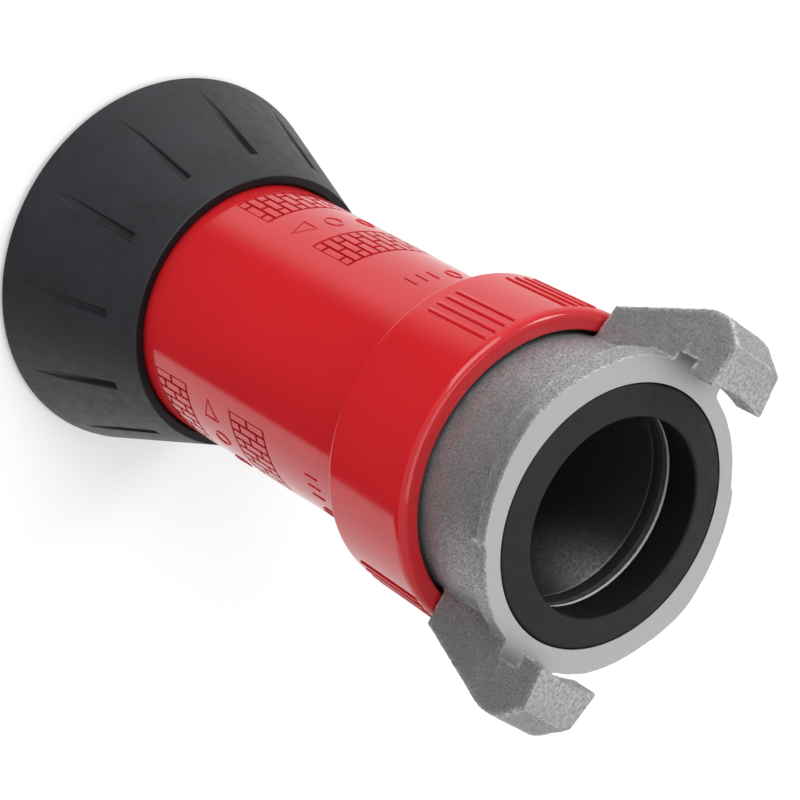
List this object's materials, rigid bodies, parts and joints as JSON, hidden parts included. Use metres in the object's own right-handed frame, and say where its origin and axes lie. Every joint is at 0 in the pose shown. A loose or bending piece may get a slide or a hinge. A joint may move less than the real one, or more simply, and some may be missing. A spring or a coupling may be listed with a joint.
{
  "type": "fire hose nozzle",
  "caption": "Twist-to-set jet and fog hose nozzle with a flared rubber bumper, sliding red barrel in a ribbed collar, and a claw hose coupling.",
  "frame": {"origin": "centre of the bumper rim's front plane, on the nozzle's axis", "axes": "+Z along the axis from the outlet to the hose coupling, +X through the middle of one claw"},
  "size_m": [0.0988, 0.0968, 0.189],
  "materials": {
    "cast_aluminium": "sand-cast sides, machined face",
    "red_plastic": "gloss moulded",
    "black_nylon": "glass-filled, satin",
    "rubber": "matte moulded",
    "seal_rubber": "smooth moulded",
    "stainless": "turned",
    "brass": "turned",
    "fibre": "pressed fibre"
  },
  "bodies": {
    "barrel_set": {"barrel": "red_plastic", "bumper": "rubber", "fog_teeth_ring": "black_nylon", "throat_seat": "brass", "throat_o_ring": "seal_rubber", "cam_pin_left": "stainless", "cam_pin_right": "stainless"},
    "guide": {"guide_ring": "black_nylon"},
    "base": {"coupling_head": "cast_aluminium", "coupling_seal": "seal_rubber", "inlet_gasket": "fibre", "coupling_lock_screw": "stainless", "collar": "red_plastic", "wiper_ring": "seal_rubber", "body_tube": "black_nylon", "body_o_ring_front": "seal_rubber", "body_o_ring_rear": "seal_rubber", "spider": "black_nylon", "spider_snap_ring": "stainless", "stem": "stainless", "stem_washer": "stainless", "stem_nut": "brass", "baffle": "black_nylon", "shutoff_seal": "seal_rubber", "seal_washer": "brass", "baffle_screw": "stainless"}
  },
  "joints": [
    {"name": "barrel_twist", "type": "hinge", "parent": "barrel_set", "child": "guide", "pos_m": [0, 0, 0.1], "axis": [0, 0, 1], "range_deg": [0, 180]},
    {"name": "barrel_travel", "type": "slide", "parent": "guide", "child": "base", "axis": [0, 0, 1], "range_m": [0, 0.01]}
  ],
  "couplings": [
    {"joint": "barrel_travel", "follows": "barrel_twist", "m_per_rad": 0.003183}
  ]
}
